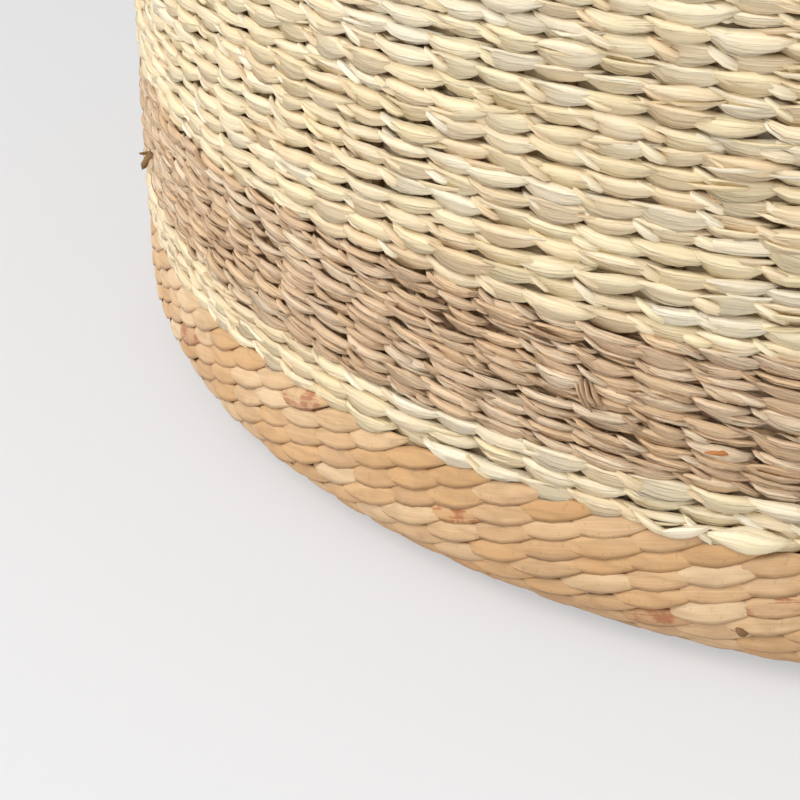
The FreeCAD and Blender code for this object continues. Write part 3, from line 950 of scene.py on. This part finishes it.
# %% Floor
def pale_floor():
    """Wide plane with painted shade, darker behind the basket and lighter in front, with the backdrop's tone
    far away.
    """
    size = 6.0
    mesh = bpy.data.meshes.new("floor")
    corners = [(-size, -size, 0), (size, -size, 0), (size, size, 0), (-size, size, 0)]
    mesh.from_pydata(corners, [], [(0, 1, 2, 3)])
    floor = bpy.data.objects.new("floor", mesh)
    bpy.context.scene.collection.objects.link(floor)
    material = bpy.data.materials.new("floor_paper")
    material.use_nodes = True
    shader = material.node_tree.nodes["Principled BSDF"]
    shader.inputs["Base Color"].default_value = linear(230, 230, 232)
    shader.inputs["Roughness"].default_value = 0.9
    shader.inputs["Specular IOR Level"].default_value = 0.1
    tree = material.node_tree
    where = tree.nodes.new("ShaderNodeTexCoord")
    place = add_node(tree, "ShaderNodeSeparateXYZ", _0=where.outputs["Object"])
    # painted shade: the floor's colour darkens behind the basket and lightens in front, as light falls off
    # across it
    back = math_node(tree, "MULTIPLY_ADD", place.outputs[1], 2.0, 0.6, clamp=True)
    tone = mix_colour(tree, back, linear(238, 238, 239), linear(213, 214, 215))
    # far away the floor has the backdrop's tone, so that no edge shows between the two
    reach = add_node(tree, "ShaderNodeVectorMath", _0=where.outputs["Object"])
    reach.operation = "LENGTH"
    far = math_node(tree, "MULTIPLY_ADD", reach.outputs["Value"], 0.5, -0.25, clamp=True)
    tone = mix_colour(tree, far, tone, linear(236, 238, 240))
    # painted light: camera rays see the floor partly glow, which also thins the basket's shadow on it
    glow = add_node(tree, "ShaderNodeEmission", Color=tone, Strength=1.0)
    rays = tree.nodes.new("ShaderNodeLightPath")
    share = math_node(tree, "MULTIPLY", rays.outputs["Is Camera Ray"], 0.6)
    blend = add_node(tree, "ShaderNodeMixShader", _0=share, _1=shader.outputs[0], _2=glow.outputs[0])
    tree.links.new(blend.outputs[0], tree.nodes["Material Output"].inputs[0])
    floor.data.materials.append(material)


pale_floor()

# %% Light
world = bpy.data.worlds.new("studio")
bpy.context.scene.world = world
world.use_nodes = True
sky = world.node_tree.nodes["Background"]
sky.inputs[0].default_value = (1.0, 1.0, 1.0, 1)
sky.inputs[1].default_value = 0.85
# the camera sees a backdrop of the floor's own tone, which gives no light
backdrop = add_node(world.node_tree, "ShaderNodeBackground", Color=linear(227, 229, 231), Strength=1.0)
sky_rays = world.node_tree.nodes.new("ShaderNodeLightPath")
sky_blend = add_node(world.node_tree, "ShaderNodeMixShader", _0=sky_rays.outputs["Is Camera Ray"],
                     _1=sky.outputs[0], _2=backdrop.outputs[0])
world.node_tree.links.new(sky_blend.outputs[0], world.node_tree.nodes["World Output"].inputs[0])


def soft_lamp(name, place, target, size, power, colour):
    """Square area lamp that looks at a point."""
    lamp = bpy.data.lights.new(name, "AREA")
    lamp.size = size
    lamp.energy = power
    lamp.color = colour
    holder = bpy.data.objects.new(name, lamp)
    bpy.context.scene.collection.objects.link(holder)
    holder.location = place
    holder.rotation_euler = (Vector(target) - Vector(place)).to_track_quat("-Z", "Y").to_euler()


soft_lamp("key", (-1.3, -0.9, 1.6), (0, 0, 0.1), 1.2, 24.0, (1.0, 1.0, 1.0))

# %% Camera
BROWN_RADIUS = low_high("brown_outer_weft")[1][0]
camera = bpy.data.cameras.new("camera")
camera.sensor_width = 36.0
camera.lens = 107.3
camera_holder = bpy.data.objects.new("camera", camera)
bpy.context.scene.collection.objects.link(camera_holder)
camera_holder.location = (0.0, -2.86 * BROWN_RADIUS, 1.27 * BROWN_RADIUS)
yaw, pitch = math.radians(13.9), math.radians(27.6)
look = Vector((-math.sin(yaw) * math.cos(pitch), math.cos(yaw) * math.cos(pitch), -math.sin(pitch)))
camera_holder.rotation_euler = look.to_track_quat("-Z", "Y").to_euler()
bpy.context.scene.camera = camera_holder
bpy.context.scene.view_settings.view_transform = "Standard"
